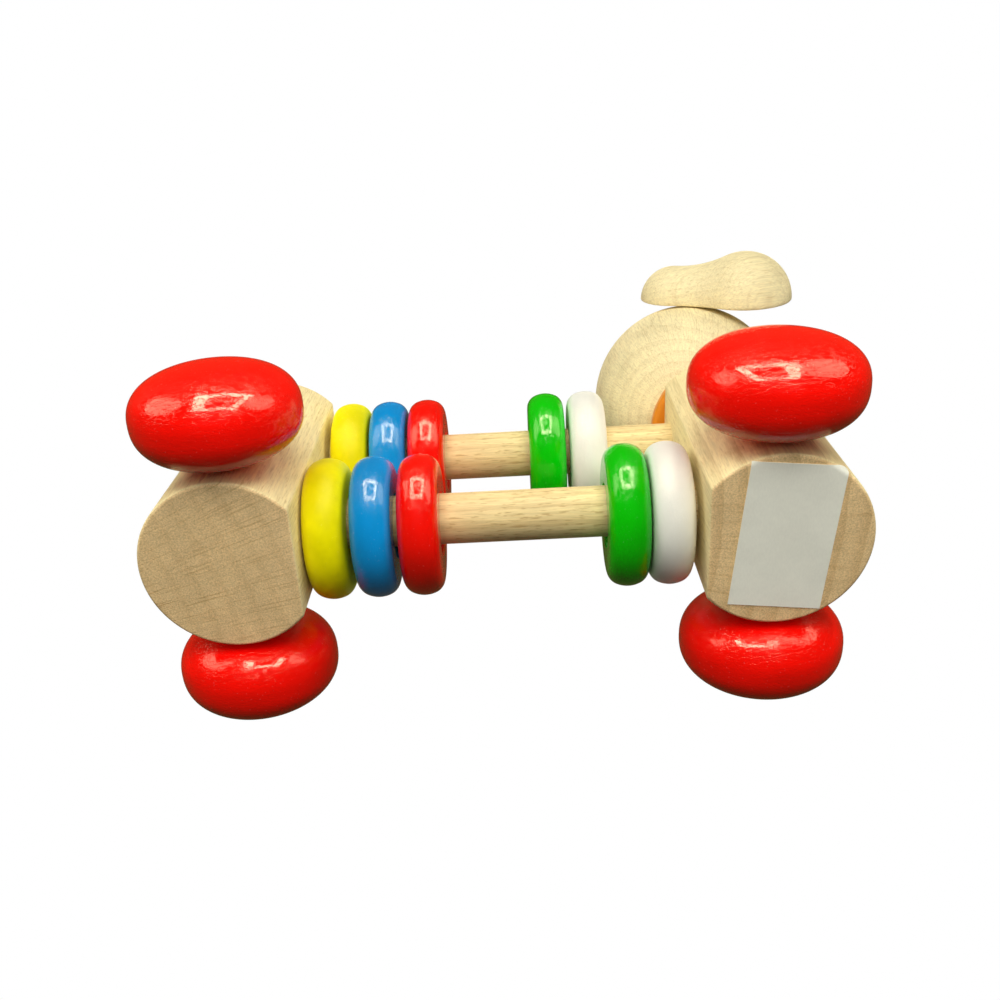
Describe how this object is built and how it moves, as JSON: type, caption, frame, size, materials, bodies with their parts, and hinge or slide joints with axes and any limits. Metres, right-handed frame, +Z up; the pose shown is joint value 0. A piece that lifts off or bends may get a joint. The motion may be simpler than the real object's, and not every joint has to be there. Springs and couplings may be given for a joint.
{
  "type": "abacus push toy",
  "caption": "Wooden dog push toy: two beech logs on rolling wheels, joined by rods with sliding counting beads, under a ball head with ears.",
  "frame": {"origin": "on the ground under the middle of the outline", "axes": "+X forwards to the head end, +Y to the dog's left, +Z up, standing on its wheels"},
  "size_m": [0.1662, 0.0848, 0.1316],
  "materials": {
    "beech": "sanded bare beech",
    "wheel_red": "gloss paint on turned wood",
    "bead_yellow": "gloss paint on turned wood",
    "bead_blue": "gloss paint on turned wood",
    "bead_red": "gloss paint on turned wood",
    "bead_green": "gloss paint on turned wood",
    "bead_white": "satin paint on turned wood",
    "paint_orange": "gloss paint on turned wood",
    "paper": "blank coated paper sticker"
  },
  "bodies": {
    "toy_body": {"rear_block": "beech", "front_block": "beech", "lower_rod": "beech", "upper_rod": "beech", "neck_dowel": "beech", "collar": "paint_orange", "head": "beech", "ear_left": "beech", "ear_right": "beech", "ear_pin_left": "beech", "ear_pin_right": "beech", "label": "paper"},
    "rear_wheels": {"rear_axle": "beech", "rear_wheel_left": "wheel_red", "rear_wheel_right": "wheel_red"},
    "front_wheels": {"front_axle": "beech", "front_wheel_left": "wheel_red", "front_wheel_right": "wheel_red"},
    "lower_yellow": {"lower_bead_yellow": "bead_yellow"},
    "lower_blue": {"lower_bead_blue": "bead_blue"},
    "lower_red": {"lower_bead_red": "bead_red"},
    "lower_green": {"lower_bead_green": "bead_green"},
    "lower_white": {"lower_bead_white": "bead_white"},
    "upper_yellow": {"upper_bead_yellow": "bead_yellow"},
    "upper_blue": {"upper_bead_blue": "bead_blue"},
    "upper_red": {"upper_bead_red": "bead_red"},
    "upper_green": {"upper_bead_green": "bead_green"},
    "upper_white": {"upper_bead_white": "bead_white"}
  },
  "joints": [
    {"name": "rear_wheels_spin", "type": "hinge", "parent": "toy_body", "child": "rear_wheels", "pos_m": [-0.06282, 0, 0.019], "axis": [0, 1, 0], "continuous": true},
    {"name": "front_wheels_spin", "type": "hinge", "parent": "toy_body", "child": "front_wheels", "pos_m": [0.05818, 0, 0.019], "axis": [0, 1, 0], "continuous": true},
    {"name": "lower_yellow_slide", "type": "slide", "parent": "toy_body", "child": "lower_yellow", "axis": [1, 0, 0], "range_m": [0, 0.0126]},
    {"name": "lower_blue_slide", "type": "slide", "parent": "lower_yellow", "child": "lower_blue", "axis": [1, 0, 0], "range_m": [0, 0.0126]},
    {"name": "lower_red_slide", "type": "slide", "parent": "lower_blue", "child": "lower_red", "axis": [1, 0, 0], "range_m": [0, 0.0126]},
    {"name": "lower_white_slide", "type": "slide", "parent": "toy_body", "child": "lower_white", "axis": [1, 0, 0], "range_m": [-0.0189, 0.0012]},
    {"name": "lower_green_slide", "type": "slide", "parent": "lower_white", "child": "lower_green", "axis": [1, 0, 0], "range_m": [-0.0189, 0]},
    {"name": "upper_yellow_slide", "type": "slide", "parent": "toy_body", "child": "upper_yellow", "axis": [1, 0, 0], "range_m": [-0.0012, 0.0072]},
    {"name": "upper_blue_slide", "type": "slide", "parent": "upper_yellow", "child": "upper_blue", "axis": [1, 0, 0], "range_m": [0, 0.0072]},
    {"name": "upper_red_slide", "type": "slide", "parent": "upper_blue", "child": "upper_red", "axis": [1, 0, 0], "range_m": [0, 0.0072]},
    {"name": "upper_white_slide", "type": "slide", "parent": "toy_body", "child": "upper_white", "axis": [1, 0, 0], "range_m": [-0.0108, 0.0137]},
    {"name": "upper_green_slide", "type": "slide", "parent": "upper_white", "child": "upper_green", "axis": [1, 0, 0], "range_m": [-0.0108, 0]}
  ]
}
